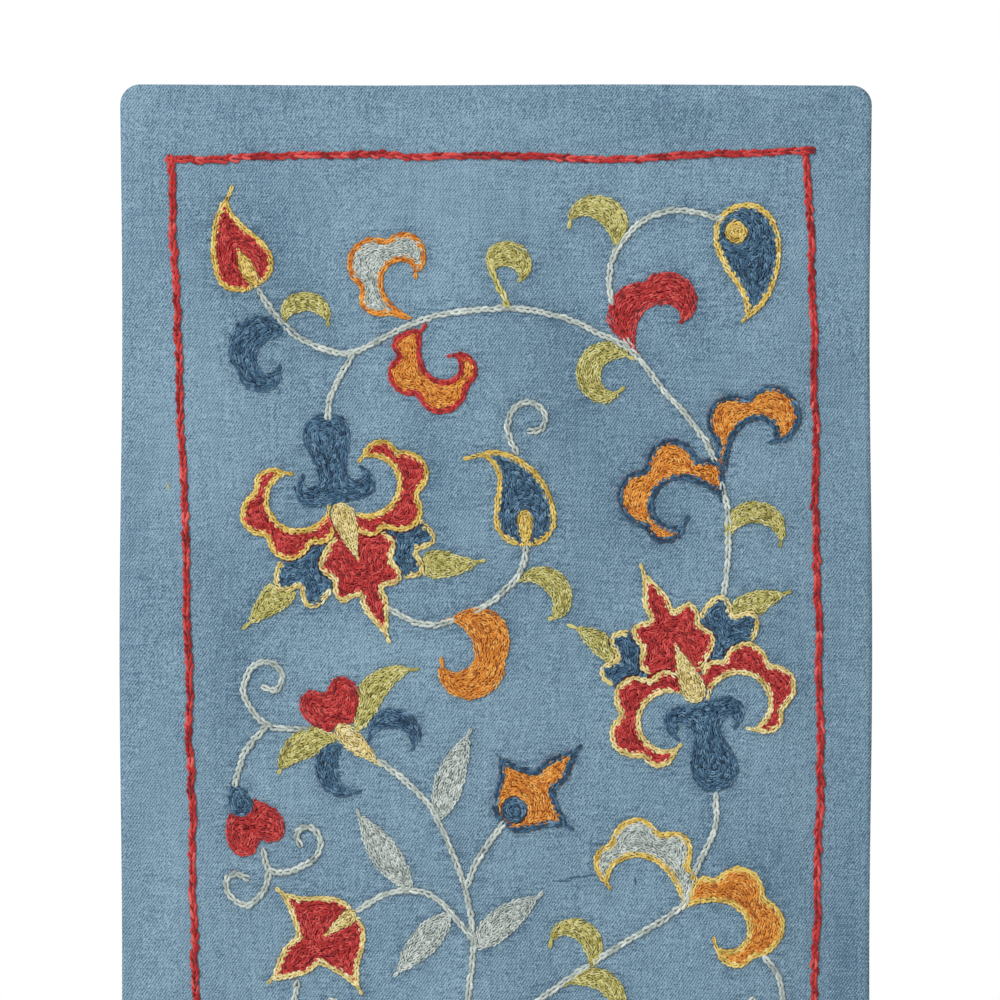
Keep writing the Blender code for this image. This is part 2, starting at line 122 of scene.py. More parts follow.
# The vine and its tendrils, as (colour, list of (x, drop))
STEMS = [
    ("pale", [(-143, 122), (-134, 136), (-119, 151), (-101, 159), (-85, 160), (-60, 148), (-34, 138),
              (8, 134), (38, 139), (62, 149), (82, 160), (98, 180), (122, 208), (133, 230), (137, 246)]),
    ("pale", [(-85, 160), (-94, 176), (-100, 190), (-101, 204)]),
    ("olive", [(8, 134), (2, 122), (-2, 113), (-4, 109)]),
    ("pale", [(82, 160), (74, 144), (69, 128), (68, 112), (73, 98), (86, 83), (101, 76), (118, 76),
              (139, 82)]),
    ("pale", [(137, 246), (139, 256), (139, 285), (136, 309)]),
    ("pale", [(13, 222), (7, 207), (10, 195), (20, 190), (29, 196), (28, 206), (20, 208)]),
    ("pale", [(18, 276), (14, 293), (-4, 311), (-28, 322), (-46, 323), (-65, 314)]),
    ("pale", [(-112, 387), (-137, 384), (-151, 367), (-148, 351), (-137, 346), (-128, 353), (-131, 363),
              (-139, 362)]),
    ("pale", [(-137, 384), (-150, 399), (-157, 420)]),
    ("pale", [(-71, 405), (-55, 417), (-40, 432), (-28, 456), (-19, 480), (-14, 507), (-14, 525), (-17, 549),
              (-18, 580)]),
    ("pale", [(-84, 496), (-67, 486), (-49, 483), (-34, 489), (-15, 511)]),
    ("pale", [(-18, 482), (-11, 465), (4, 443)]),
    ("pale", [(-140, 458), (-136, 471), (-124, 472), (-109, 464), (-105, 453), (-112, 445), (-120, 449),
              (-118, 456)]),
    ("pale", [(-136, 471), (-139, 483), (-148, 492), (-157, 489), (-162, 480), (-158, 473), (-149, 476)]),
    ("pale", [(132, 424), (131, 447), (119, 472), (112, 492), (80, 513), (56, 528), (26, 549), (-18, 580)]),
    ("pale", [(-119, 537), (-121, 556), (-112, 572), (-98, 571), (-91, 559), (-98, 549), (-106, 555)]),
    ("pale", [(160, 522), (169, 534), (172, 552), (164, 567), (151, 567), (146, 556), (154, 549)]),
    ("pale", [(-18, 580), (-16, 600), (-14, 622)]),
    ("pale", [(-16, 604), (-34, 612), (-52, 608), (-60, 596), (-52, 588)]),
    ("pale", [(-16, 604), (4, 613), (22, 610), (31, 598), (24, 590)]),
]

# Petals and leaves. An edge of the given length sets out from (x, drop) towards heading, and turns through
# bend degrees, the more so near its tip the larger hook is. The width swells from a thin root to a thin end:
# root and end say how slowly. outer is the share of the width on the far side of the bend, which has lobes
# with notches between them. UNDER_PETALS, the leaves under the two large flowers, come first. Then come those
# flowers, PETALS and FLOWERS, with TOP_PETALS over them all.
LOBE_ROUND = 0.8
PETAL_COLUMNS = (
    "name", "edge", "fill", "x", "drop", "heading", "length", "bend", "hook", "width", "root", "end", "outer",
    "lobes", "notch",
)
UNDER_PETALS = [
    ("palmette_leaf_1", "olive", "olive", -120, 297, 218, 41, 10, 1, 18, 0.6, 1.25, 0.5, 0, 0),
    ("palmette_leaf_2", "olive", "olive", -48, 286, -12, 41, 26, 1, 17, 0.6, 1.3, 0.5, 0, 0),
    ("palmette_leaf_3", "olive", "olive", 77, 348, 131, 40, 26, 1, 15, 0.6, 1.15, 0.5, 0, 0),
    ("palmette_leaf_4", "olive", "olive", 140, 321, 38, 40, -26, 1, 17, 0.6, 1.25, 0.5, 0, 0),
]
PETALS = [
    ("red_bud", "gold", "red", -144, 122, 118, 65, -68, 3.6, 37, 0.5, 1.6, 0.5, 0, 0),
    ("red_bud_heart", "gold", "gold", -144, 121, 116, 24, 0, 1, 9, 0.7, 0.9, 0.5, 0, 0),
    ("olive_1", "olive", "olive", -127, 142, 46, 31, -110, 1.2, 12, 0.6, 0.8, 1, 0, 0),
    ("indigo_curl", "indigo", "indigo", -121, 149, 186, 50, 234, 2, 21, 1.15, 0.95, 1, 1.5, 0.35),
    ("pale_curl", "orange", "pale", -44, 142, 156, 67, -250, 2.1, 25, 1.9, 1, 1, 4, 0.4),
    ("orange_curl", "red", "orange", -43.5, 145.5, -98, 62, 278, 2.2, 24, 0.6, 0.9, 1, 4, 0.38),
    ("olive_2", "olive", "olive", -2, 112, 48, 22, -140, 1.1, 15, 0.5, 0.7, 1, 0, 0),
    ("olive_3", "olive", "olive", 72, 99, 112, 41, 140, 2.2, 16, 0.95, 1.15, 1, 0, 0),
    ("indigo_bud", "gold", "indigo", 144, 71, -73, 74, -62, 3.5, 40, 0.5, 1.15, 0.5, 0, 0),
    ("red_curl", "red", "red", 84, 161, 96, 56, -190, 1.8, 24, 1, 0.75, 1, 1.7, 0.4),
    ("olive_4", "olive", "olive", 82, 164, 170, 44, 225, 1.5, 15, 1.1, 1.1, 1, 0, 0),
    ("orange_leaf", "indigo", "orange", 138, 241, 86, 68, -220, 2.8, 26, 1.6, 0.75, 1, 3, 0.48),
    ("orange_hook", "indigo", "orange", 135, 249, 137, 81, 280, 1.7, 26, 0.75, 1, 1, 4, 0.46),
    ("olive_5", "olive", "olive", 139, 274, 68, 43, -150, 1.1, 13, 0.9, 0.9, 1, 0, 0),
    ("blue_bud", "gold", "indigo", 18, 277.5, 91, 78, 122, 2.5, 38, 0.5, 1.6, 0.5, 0, 0),
    ("blue_bud_heart", "gold", "gold", 18, 276, 92, 22, 0, 1, 9, 0.7, 0.45, 0.5, 0, 0),
    ("olive_6", "olive", "olive", 13, 298, 2, 37, -125, 1.4, 14, 0.9, 0.8, 1, 0, 0),
    ("orange_plain", "orange", "orange", -28, 321, -29, 56, -226, 1.7, 24, 0.75, 0.95, 1, 2, 0.22),
    ("iris_leaf_right", "olive", "olive", -84, 388, 78, 57, -80, 1.5, 17, 0.6, 1, 0.5, 0, 0),
    ("iris_leaf_left", "olive", "olive", -93, 390, 186, 46, 66, 1.6, 17, 0.7, 0.9, 0.5, 0, 0),
    ("iris_horn_right", "indigo", "indigo", -76, 392, 50, 35, -140, 1.2, 12, 0.8, 0.8, 1, 0, 0),
    ("iris_horn_left", "indigo", "indigo", -92, 396, 242, 35, 112, 1.4, 13, 0.6, 0.9, 1, 0, 0),
    ("pale_leaf_1", "pale", "pale", -34, 441, 78, 56, -14, 1, 18, 0.7, 1, 0.5, 0, 0),
    ("pale_leaf_2", "pale", "pale", -50, 483, 130, 57, -10, 1, 18, 0.8, 1, 0.5, 0, 0),
    ("pale_leaf_3", "pale", "pale", -26, 496, 224, 51, 8, 1, 17, 0.8, 1, 0.5, 0, 0),
    ("pale_leaf_4", "pale", "pale", -13, 518, 46, 51, -14, 1, 18, 0.7, 1, 0.5, 0, 0),
    ("pale_lobes", "gold", "pale", 112, 493, 108, 71, 176, 1.8, 26, 0.95, 0.95, 1, 4, 0.36),
    ("orange_lobes", "gold", "orange", 112, 494, 18, 77, -268, 1.9, 26, 0.95, 1.15, 1, 4, 0.36),
    ("olive_7", "olive", "olive", 56, 532, 96, 39, 150, 1.9, 13, 0.9, 1, 1, 0, 0),
    ("olive_8", "olive", "olive", 42, 540, 2, 42, -115, 1.7, 13, 0.9, 0.9, 1, 0, 0),
    ("last_leaf_left", "pale", "pale", -17, 602, 205, 50, -35, 1, 15, 0.8, 0.9, 0.5, 0, 0),
    ("last_leaf_right", "pale", "pale", -16, 602, -22, 50, 35, 1, 15, 0.8, 0.9, 0.5, 0, 0),
]
TOP_PETALS = [
    ("iris_cup", "straw", "straw", -69, 408, 139, 36, 0, 1, 13, 1.1, 0.5, 0.5, 0, 0),
    ("heart_cap", "indigo", "indigo", -158, 419, -68, 21, 0, 1, 15, 0.9, 0.5, 0.5, 0, 0),
]

# Flowers with two like halves, set down at (x, drop) and turned counterclockwise
FLOWER_COLUMNS = ("name", "kind", "edge", "fill", "x", "drop", "turn", "width", "length")
FLOWERS = [
    ("iris_heart", "heart", "red", "red", -90, 390, 26, 37, 34),
    ("red_tulip", "tulip", "straw", "red", -84, 496, 129, 74, 67),
    ("orange_tulip", "tulip", "indigo", "orange", 3, 443, -46, 58, 66),
    ("heart_bud", "heart", "red", "red", -156, 426, -152, 36, 37),
    ("last_bud", "heart", "red", "red", -14, 620, 180, 24, 22),
    ("tulip_drop", "drop", "straw", "straw", -84, 496, 128, 9, 24),
    ("tulip_disc", "disc", "indigo", "indigo", 11, 435, 0, 16, 16),
    ("bud_disc", "disc", "gold", "gold", 144, 88, 0, 14, 14),
]

# The two large flowers, each a set of the pieces below, set down at (x, drop) and turned. Their petals have
# an outline in the colour called edge.
PALMETTE_COLUMNS = ("x", "drop", "turn", "edge")
PALMETTES = [
    (-94, 252, 199, "gold"),
    (121, 369, 22, "straw"),
]
PALMETTE_PETALS = [
    ("petal_left", "", "red", -5, -4, 134, 71, 235, 1.15, 22, 0.7, 0.8, 1, 4, 0.44),
    ("petal_right", "", "red", 6, 1, 46, 73, -234, 1.15, 21, 0.7, 0.8, 1, 4, 0.44),
]
PALMETTE_FLOWERS = [
    ("side_left", "heart", "straw", "indigo", -6, -17, 50, 37, 47),
    ("side_right", "heart", "straw", "indigo", 9, -14, -50, 37, 48),
    ("crown", "crown", "straw", "red", 0, -2, 1, 48, 85),
    ("vase", "vase", "indigo", "indigo", 1, 1, -10, 47, 55),
    ("cone", "drop", "straw", "straw", 0, 2, 0, 15, 38),
]
PALMETTE_ORDER = ("side_left", "side_right", "crown", "petal_left", "petal_right", "vase", "cone")

# Right halves of the flowers' outlines, as shares of width and length, and whether the outline has a corner
HALF_COLUMNS = ("across", "along", "corner")
HALVES = {
    "heart": [
        (0, 0, 1), (0.2, 0.16, 0), (0.42, 0.42, 0), (0.5, 0.7, 0), (0.4, 0.93, 0),
        (0.2, 0.98, 0), (0, 0.82, 1),
    ],
    "tulip": [
        (0, 0, 0), (0.16, 0.03, 0), (0.27, 0.14, 0), (0.38, 0.3, 0), (0.54, 0.42, 1),
        (0.34, 0.47, 0), (0.15, 0.55, 1), (0.14, 0.72, 0), (0, 1, 1),
    ],
    "crown": [
        (0, 0, 0), (0.12, 0.03, 0), (0.24, 0.17, 0), (0.44, 0.27, 0), (0.51, 0.36, 0), (0.4, 0.47, 1),
        (0.45, 0.56, 0), (0.38, 0.64, 0), (0.16, 0.63, 1), (0.17, 0.74, 0), (0.09, 0.86, 0), (0, 1, 1),
    ],
    "vase": [
        (0, 0, 0), (0.2, -0.01, 0), (0.42, -0.03, 0), (0.52, -0.14, 0), (0.48, -0.3, 0),
        (0.38, -0.35, 1), (0.36, -0.24, 0), (0.24, -0.24, 0), (0.18, -0.36, 0), (0.25, -0.56, 0),
        (0.31, -0.76, 0), (0.22, -0.94, 0), (0, -1, 0),
    ],
    "drop": [
        (0, 0, 0), (0.3, 0.06, 0), (0.5, 0.24, 0), (0.34, 0.58, 0), (0, 1, 1),
    ],
    "disc": [
        (0, -0.5, 0), (0.35, -0.35, 0), (0.5, 0, 0), (0.35, 0.35, 0), (0, 0.5, 0),
    ],
}

# The stitches of each kind of row: length, width, strand radius, how far the row is inside its outline, the
# share of its height, how far its stitches turn aside in radians, how much their tones differ, how much
# longer than its pitch each stitch is, and how light it is from 0 to 1. The outlines, stems, points and
# border
# are less light than the filling: painted shade, as they catch less shadow than the filling.
HEAVY = "indigo"  # the colour of the heavier outlines
STITCH_COLUMNS = ("length", "width", "strand", "inset", "rise", "sway", "spread", "overlap", "light")
STITCHES = {
    "fill": (2.9, 2.5, 0.58, 1.15, 1.1, 0.15, 0.28, 1, 0.5),
    "edge": (3.4, 3, 0.78, 1.65, 0.85, 0.05, 0.24, 1.15, 0.38),
    "heavy_edge": (3.6, 3.8, 0.92, 1.85, 0.85, 0.06, 0.24, 1.15, 0.24),
    "stem": (4.3, 3.7, 0.97, 0, 0.8, 0.05, 0.21, 1.2, 0.41),
    "border": (3.5, 4.3, 0.98, 0, 0.85, 0.09, 0.32, 1.55, 0.38),
    "point": (3, 2, 0.62, 0, 0.95, 0.05, 0.2, 1.35, 0.42),
    "loose": (8, 0.5, 0.28, 0, 0.9, 0.1, 0.1, 1, 0.5),
}
GRID = 0.6  # spacing of the points where a motif's depth is worked out
ROW_PITCH = 2.45  # from one row of filling to the next
EDGE_PITCH = 0.6  # share of an outline's extra width that widens the pitch beside it
EDGE_SLACK = 0.9  # how far an outline's stitches may lie inside their row
LEAST_ROW = 5.0  # rows shorter than this are left out
RING_SHARE = 0.42  # a ring narrower than this share of a row pitch is stitched as one line
PITCH_WANDER = 0.12  # how far a stitch's end strays along its row, as a share of its length
SHARP = 1.0  # an outline that turns by more than this, in radians, has a point there
POINT_REACH = (1.0, 10.0)  # how far from the nearest row the point may be to be stitched
POINT_COVERED = 0.5  # a point deeper than this in a later motif isn't stitched
STEM_COVERED = 2.2  # nor is a stem deeper than this in a motif
EDGE_DEPTH = 3.2  # how deep an outline reaches into its motif
BARE = 1.2  # how far a point of a filled area may be from the middle of a stitch
EDGE_INSET, FILL_INSET = 1.1, 0.9  # how far inside their rims bare points are looked for
PATCH_HALF = 0.45  # half a bare place's stitch, as a share of a filling stitch

# One strand of a chain stitch, from where it comes up to where it goes down: the share of the stitch's
# length, of its half width, of its strand's radius above the cloth, and of that radius
STRAND = [
    (-0.18, 0.04, -0.4, 0.0),
    (0.06, 0.17, 0.8, 0.8),
    (0.4, 0.46, 1.1, 1.0),
    (0.78, 0.66, 1.0, 1.0),
    (1.06, 0.44, 0.7, 0.8),
    (1.24, 0.06, -0.3, 0.0),
]
STRAND_SIDES = 4
STRAND_FLAT = 0.85

# How much the stitches and their strands differ, from the least share to the most
UNEVEN_WIDTH, UNEVEN_LENGTH = (0.86, 1.12), (0.94, 1.12)
UNEVEN_ASIDE, UNEVEN_HEIGHT = (0.8, 1.2), (0.75, 1.35)
TONE_SHARES = (0.5, 0.8)  # of its tone, what a stitch's strands share and what each has of its own
BAKE_MARGIN = 0.06  # round a strand in its cell of the baked texture
BAKE_MIDDLE, BAKE_WIDTH, BAKE_HEIGHT = 0.25, 0.48, 0.98  # where the cloth's face lies there, and its size

# One stitch of the reverse: the share of its length, and of its strand's radius aside and up, and its faces
BACK_POINTS = [
    (0.02, 0, 0), (0.3, 0.8, 0), (0.3, 0, 0.8), (0.3, -0.8, 0),
    (0.72, 0.8, 0), (0.72, 0, 0.8), (0.72, -0.8, 0), (0.98, 0, 0),
]
BACK_QUADS = [(1, 4, 5, 2), (2, 5, 6, 3), (3, 6, 4, 1)]
BACK_TRIS = [(0, 1, 2), (0, 2, 3), (0, 3, 1), (7, 5, 4), (7, 6, 5), (7, 4, 6)]
BACK_SUNK = 0.05  # how deep the reverse's stitches lie in the cloth
BACK_TONE = (0.5, 0.17)  # middle and spread

# The twill's pitches, and how often a thread's ply turns along one stitch
RIB_ACROSS = 1.82
RIB_DOWN = 2.7
YARN = 1.05
WEFT = 1.1
PLY_TURNS = 2.4

CLOTH_TONES = ((68, 99, 123), (153, 184, 202))  # dark and light, as sRGB bytes

# Loose ends of thread that lie on the cloth, from one end to the other
FLECK_COLUMNS = ("colour", "x", "drop", "end_x", "end_drop")
FLECKS = [
    ("indigo", -197.7, 42.0, -197.4, 46.5),
    ("indigo", 35.0, 477.5, 57.0, 474.5),
    ("indigo", 83.4, 475.5, 83.8, 479.5),
    ("olive", -197.6, 238.5, -196.0, 242.5),
]

# Thread colours as sRGB bytes: dark, middle and light
THREADS = {
    "red": ((142, 18, 24), (202, 50, 50), (236, 102, 96)),
    "gold": ((188, 154, 64), (240, 210, 112), (250, 232, 162)),
    "straw": ((194, 170, 98), (242, 224, 152), (252, 242, 200)),
    "orange": ((184, 98, 22), (240, 156, 54), (250, 196, 106)),
    "indigo": ((34, 64, 90), (70, 112, 144), (124, 162, 188)),
    "olive": ((148, 140, 64), (208, 200, 118), (236, 230, 168)),
    "pale": ((152, 164, 160), (202, 212, 206), (230, 236, 230)),
}


def named(columns, values):
    """Values that go by their columns' names."""
    return SimpleNamespace(**dict(zip(columns, values)))


def rows(columns, table):
    return [named(columns, row) for row in table]


def stitch(kind):
    return named(STITCH_COLUMNS, STITCHES[kind])


def middles(cut):
    """The middles of stitches."""
    return (cut[:, :2] + cut[:, 2:]) / 2


def joined(batches):
    return np.concatenate([cut for _, cut in batches])


def run_along(line):
    """The length of a line from its start to each of its points."""
    return np.concatenate([[0], np.cumsum(np.linalg.norm(np.diff(line, axis=0), axis=1))])


def spline(points, per=8):
    """Points along a smooth curve through the given ones, per of them to a gap."""
    p = np.asarray(points, float)
    p = np.concatenate([[2 * p[0] - p[1]], p, [2 * p[-1] - p[-2]]])
    t = np.linspace(0, 1, per, endpoint=False)[:, None]
    curve = [
        0.5 * (2 * b + (c - a) * t + (2 * a - 5 * b + 4 * c - d) * t**2 + (3 * b - a - 3 * c + d) * t**3)
        for a, b, c, d in zip(p, p[1:], p[2:], p[3:])
    ]
    return np.concatenate(curve + [p[-2:-1]])


def placed(loop, x, drop, turn):
    """A loop turned counterclockwise about its own origin and set down at (x, drop)."""
    c, s = math.cos(math.radians(turn)), math.sin(math.radians(turn))
    return loop @ np.array([[c, s], [-s, c]]) + [x, -drop]


def petal(row, points=56):
    """The closed outline of a petal or leaf."""
    s = np.linspace(0, 1, points)
    ahead = np.exp(1j * np.radians(row.heading + row.bend * s ** row.hook))
    edge = np.concatenate([[0], np.cumsum((ahead[1:] + ahead[:-1]) / 2)]) * row.length / (points - 1)
    edge = edge + complex(row.x, -row.drop)
    away = ahead * (-1j if row.bend > 0 else 1j)
    peak = row.root / (row.root + row.end)
    swell = (s / peak) ** row.root * ((1 - s) / (1 - peak)) ** row.end * row.width
    lobe = 1 - row.notch * (1 - np.abs(np.sin(math.pi * row.lobes * s)) ** LOBE_ROUND) if row.lobes else 1
    outside = edge + away * swell * row.outer * lobe
    inside = edge - away * swell * (1 - row.outer)
    loop = np.concatenate([outside, inside[-2:0:-1]])
    return np.stack([loop.real, loop.imag], 1)


def flower(row, per=8):
    """The closed outline of a flower with two like halves."""
    half = rows(HALF_COLUMNS, HALVES[row.kind])
    last = len(half) - 1
    cuts = [0] + [i for i in range(1, last) if half[i].corner] + [last]
    side = []
    for a, b in zip(cuts, cuts[1:]):
        part = [(h.across, h.along) for h in half[a : b + 1]]
        rounds = [a == 0 and not half[0].corner, b == last and not half[last].corner]
        lead = [(-part[1][0], part[1][1])] if rounds[0] else []
        tail = [(-part[-2][0], part[-2][1])] if rounds[1] else []
        curve = spline(lead + part + tail, per)
        curve = curve[per if rounds[0] else 0 : len(curve) - (per if rounds[1] else 0)]
        side.append(curve if b == last else curve[:-1])
    side = np.concatenate(side)
    loop = np.concatenate([side, side[-2:0:-1] * [-1, 1]]) * [row.width, row.length]
    return placed(loop, row.x, row.drop, row.turn)


def petals(table):
    return [(row.edge, row.fill, petal(row)) for row in rows(PETAL_COLUMNS, table)]


def motifs():
    """Every filled motif from the lowest layer up, as (edge colour, fill colour, outline)."""
    made = petals(UNDER_PETALS)
    pieces = {row.name: (row, petal(row)) for row in rows(PETAL_COLUMNS, PALMETTE_PETALS)}
    pieces.update({row.name: (row, flower(row)) for row in rows(FLOWER_COLUMNS, PALMETTE_FLOWERS)})
    for at in rows(PALMETTE_COLUMNS, PALMETTES):
        for name in PALMETTE_ORDER:
            row, loop = pieces[name]
            made.append((row.edge or at.edge, row.fill, placed(loop, at.x, at.drop, at.turn)))
    made += petals(PETALS)
    made += [(row.edge, row.fill, flower(row)) for row in rows(FLOWER_COLUMNS, FLOWERS)]
    made += petals(TOP_PETALS)
    return made


def distance(points, line):
    """How far each point is from a line."""
    a, b = line[:-1], line[1:]
    along = b - a
    share = ((points[:, None] - a) * along).sum(2) / np.maximum((along**2).sum(1), 1e-12)
    nearest = a + share.clip(0, 1)[..., None] * along
    return np.linalg.norm(points[:, None] - nearest, axis=2).min(1)


def within(points, loop):
    """Whether each point is inside a closed loop."""
    x, y = points[:, 0, None], points[:, 1, None]
    a, b = loop, np.roll(loop, -1, axis=0)
    spans = (a[:, 1] > y) != (b[:, 1] > y)
    rise = np.where(a[:, 1] == b[:, 1], 1, b[:, 1] - a[:, 1])
    return (spans & (x < a[:, 0] + (y - a[:, 1]) * (b[:, 0] - a[:, 0]) / rise)).sum(1) % 2 == 1


def depth_inside(points, loop):
    """How far each point is inside a closed loop, and less than 0 outside it."""
    away = distance(points, np.concatenate([loop, loop[:1]]))
    return np.where(within(points, loop), away, -away)


def level_lines(xs, ys, values, level):
    """The closed lines along which a grid's values are at the level."""
    above = values > level
    links = {}
    mixed = (above[:-1, :-1] != above[:-1, 1:]) | (above[:-1, :-1] != above[1:, :-1])
    mixed |= above[:-1, :-1] != above[1:, 1:]
    for i, j in np.argwhere(mixed).tolist():
        sides = [(i, j, i, j + 1), (i, j + 1, i + 1, j + 1), (i + 1, j, i + 1, j + 1), (i, j, i + 1, j)]
        cut = [side for side in sides if above[side[0], side[1]] != above[side[2], side[3]]]
        for a, b in zip(cut[::2], cut[1::2]):
            links.setdefault(a, []).append(b)
            links.setdefault(b, []).append(a)
    found = []
    while links:
        here, path = next(iter(links)), []
        while here in links:
            path.append(here)
            here = next((side for side in links.pop(here) if side in links), None)
        a, b, c, d = np.array(path).T
        share = (level - values[a, b]) / (values[c, d] - values[a, b])
        line = np.stack([xs[b] + share * (xs[d] - xs[b]), ys[a] + share * (ys[c] - ys[a])], 1)
        found.append(np.concatenate([line, line[:1]]))
    return found


def smoothed(line):
    """A closed line with its steps evened out."""
    ring = line[:-1]
    for _ in range(2):
        ring = 0.5 * ring + 0.25 * (np.roll(ring, 1, axis=0) + np.roll(ring, -1, axis=0))
    return np.concatenate([ring, ring[:1]])


def single(line, points=24):
    """A closed line, or its middle line where its two sides lie on each other."""
    x, y = line.T
    area = abs((x[:-1] * y[1:] - x[1:] * y[:-1]).sum()) / 2
    if area > RING_SHARE * ROW_PITCH * run_along(line)[-1] / 2:
        return line
    ring = line[:-1]
    first = int(np.linalg.norm(ring - ring.mean(0), axis=1).argmax())
    ring = np.roll(ring, -first, axis=0)
    far = int(np.linalg.norm(ring - ring[0], axis=1).argmax())
    other = np.concatenate([ring[far:], ring[:1]])[::-1]
    share = np.linspace(0, 1, points)
    sides = []
    for side in (ring[: far + 1], other):
        run = run_along(side)
        sides.append(np.stack([np.interp(share * run[-1], run, side[:, k]) for k in (0, 1)], 1))
    return (sides[0] + sides[1]) / 2


def stitched(line, kind):
    """A line cut into stitches, as rows of base x, base y, end x and end y."""
    run = run_along(line)
    count = max(1, round(run[-1] / stitch(kind).length))
    at = np.arange(count + 1, dtype=float)
    at[1:-1] += dice.uniform(-PITCH_WANDER, PITCH_WANDER, count - 1)
    at *= run[-1] / count
    points = np.stack([np.interp(at, run, line[:, k]) for k in (0, 1)], 1)
    return np.concatenate([points[:-1], points[1:]], 1)


def add(threads, colour, kind, stitches):
    """Put stitches with the others of their piece."""
    if len(stitches):
        group = colour + ("_border" if kind == "border" else "_stitches")
        threads.setdefault(group, []).append((kind, stitches))


def points_of(loop, apart=2, reach=3):
    """The outward points of a closed loop: its sharpest bend, over apart points, within each reach."""
    before, after = loop - np.roll(loop, apart, axis=0), np.roll(loop, -apart, axis=0) - loop
    turned = np.angle((after[:, 0] + 1j * after[:, 1]) / (before[:, 0] + 1j * before[:, 1]))
    following = np.roll(loop, -1, axis=0)
    outward = np.sign((loop[:, 0] * following[:, 1] - following[:, 0] * loop[:, 1]).sum())
    bend = turned * outward
    around = np.max([np.roll(bend, shift) for shift in range(-reach, reach + 1)], axis=0)
    return loop[(bend > SHARP) & (bend >= around)]


def ends_of_points(loop, first_row, later):
    """Stitches from the outermost row to the outline's points that show, as (kind, stitches)."""
    ends = np.concatenate([first_row[:, :2], first_row[:, 2:]])
    made = []
    for tip in points_of(loop):
        if any(depth_inside(tip[None], cover)[0] > POINT_COVERED for _, _, cover in later):
            continue
        away = np.linalg.norm(ends - tip, axis=1)
        if POINT_REACH[0] < away.min() < POINT_REACH[1]:
            steps = max(1, round(away.min() / stitch("point").length))
            line = np.linspace(ends[away.argmin()], tip, steps + 1)
            cut = np.concatenate([line[:-1], line[1:]], 1)
            made += [("fill", cut[:-1]), ("point", cut[-1:])]
    return made


def patches(points, laid):
    """Single stitches over the points that the rows leave bare, in line with the stitches beside them."""
    if not len(points):
        return np.zeros((0, 4))
    away = np.min([distance(points, cut.reshape(2, 2)) for cut in laid], axis=0)
    centres = middles(laid)
    added = []
    half = stitch("fill").length * PATCH_HALF
    while away.max() > BARE:
        at = points[away.argmax()]
        beside = laid[np.linalg.norm(centres - at, axis=1).argmin()]
        ahead = beside[2:] - beside[:2]
        ahead = ahead / np.linalg.norm(ahead) * half
        added.append(np.concatenate([at - ahead, at + ahead]))
        away = np.minimum(away, distance(points, added[-1].reshape(2, 2)))
    return np.array(added).reshape(-1, 4)


def showing(loop, later_loops):
    """A grid over a motif: its lines and points, their depth in it, and the depth that still shows."""
    low, high = loop.min(0) - 2 * GRID, loop.max(0) + 2 * GRID
    xs, ys = np.arange(low[0], high[0], GRID), np.arange(low[1], high[1], GRID)
    points = np.stack(np.meshgrid(xs, ys), -1).reshape(-1, 2)
    own = depth_inside(points, loop)
    free = own.copy()
    for later in later_loops:
        if (later.min(0) < high).all() and (later.max(0) > low).all():
            free = np.minimum(free, -depth_inside(points, later))
    return xs, ys, points, own, free


def fill_motifs(shapes, threads):
    """Rows of stitches that follow each motif's outline inwards, where no later motif covers it."""
    for number, (edge, fill, loop) in enumerate(shapes):
        later = shapes[number + 1 :]
        xs, ys, points, own, free = showing(loop, [cover for _, _, cover in later])
        outlined = edge != fill
        first_kind = ("heavy_edge" if edge == HEAVY else "edge") if outlined else "fill"
        level = stitch(first_kind).inset
        wider = stitch(first_kind).width - stitch("fill").width
        first = True
        laid, outermost = [], []
        while free.max() > level:
            for line in level_lines(xs, ys, free.reshape(len(ys), len(xs)), level):
                if run_along(line)[-1] < LEAST_ROW:
                    continue
                cut = stitched(single(smoothed(line)), first_kind if first else "fill")
                laid.append(cut)
                if first:
                    outermost.append(cut)
                if first and outlined:
                    outer = depth_inside(middles(cut), loop) < level + EDGE_SLACK
                    add(threads, edge, first_kind, cut[outer])
                    add(threads, fill, "fill", cut[~outer])
                else:
                    add(threads, fill, "fill", cut)
            level += ROW_PITCH + (EDGE_PITCH * wider if first else 0)
            first = False
        if not laid:
            continue
        if outermost:
            for kind, cut in ends_of_points(loop, np.concatenate(outermost), later):
                add(threads, edge, kind, cut)
                laid.append(cut)
        laid = np.concatenate(laid)
        rim = outlined * (own < EDGE_DEPTH)
        add(threads, edge, "fill", patches(points[(free > EDGE_INSET) & rim], laid))
        add(threads, fill, "fill", patches(points[(free > FILL_INSET) & ~rim], laid))


def lay_stems(shapes, threads):
    """The vine, where no motif covers it."""
    for colour, points in STEMS:
        cut = stitched(spline([(x, -drop) for x, drop in points]), "stem")
        deepest = np.max([depth_inside(middles(cut), loop) for _, _, loop in shapes], axis=0)
        add(threads, colour, "stem", cut[deepest <= STEM_COVERED])


def lay_border(threads):
    """The heavy line round the edge, with a hand's wander and a short tail at each corner."""
    corners = np.array([(x, -drop) for x, drop in BORDER + BORDER[:1]], float)
    for a, b in zip(corners, corners[1:]):
        if abs(b[0] - a[0]) > abs(b[1] - a[1]):
            tail = BORDER_TAIL * np.sign(b[0] - a[0]) * np.array([1, 0])
            a, b = a - tail * (abs(a[0]) > BORDER_CORNER), b + tail * (abs(b[0]) > BORDER_CORNER)
        span = np.linalg.norm(b - a)
        along = np.linspace(0, 1, max(3, int(span / BORDER_STEP)))
        side = np.array([a[1] - b[1], b[0] - a[0]]) / span
        wander = sum(
            reach * np.sin(along * span / wave + start) * np.sin(math.pi * along)
            for (reach, wave), start in zip(BORDER_WANDERS, a)
        )
        line = a + along[:, None] * (b - a) + wander[:, None] * side
        add(threads, "red", "border", stitched(line, "border"))


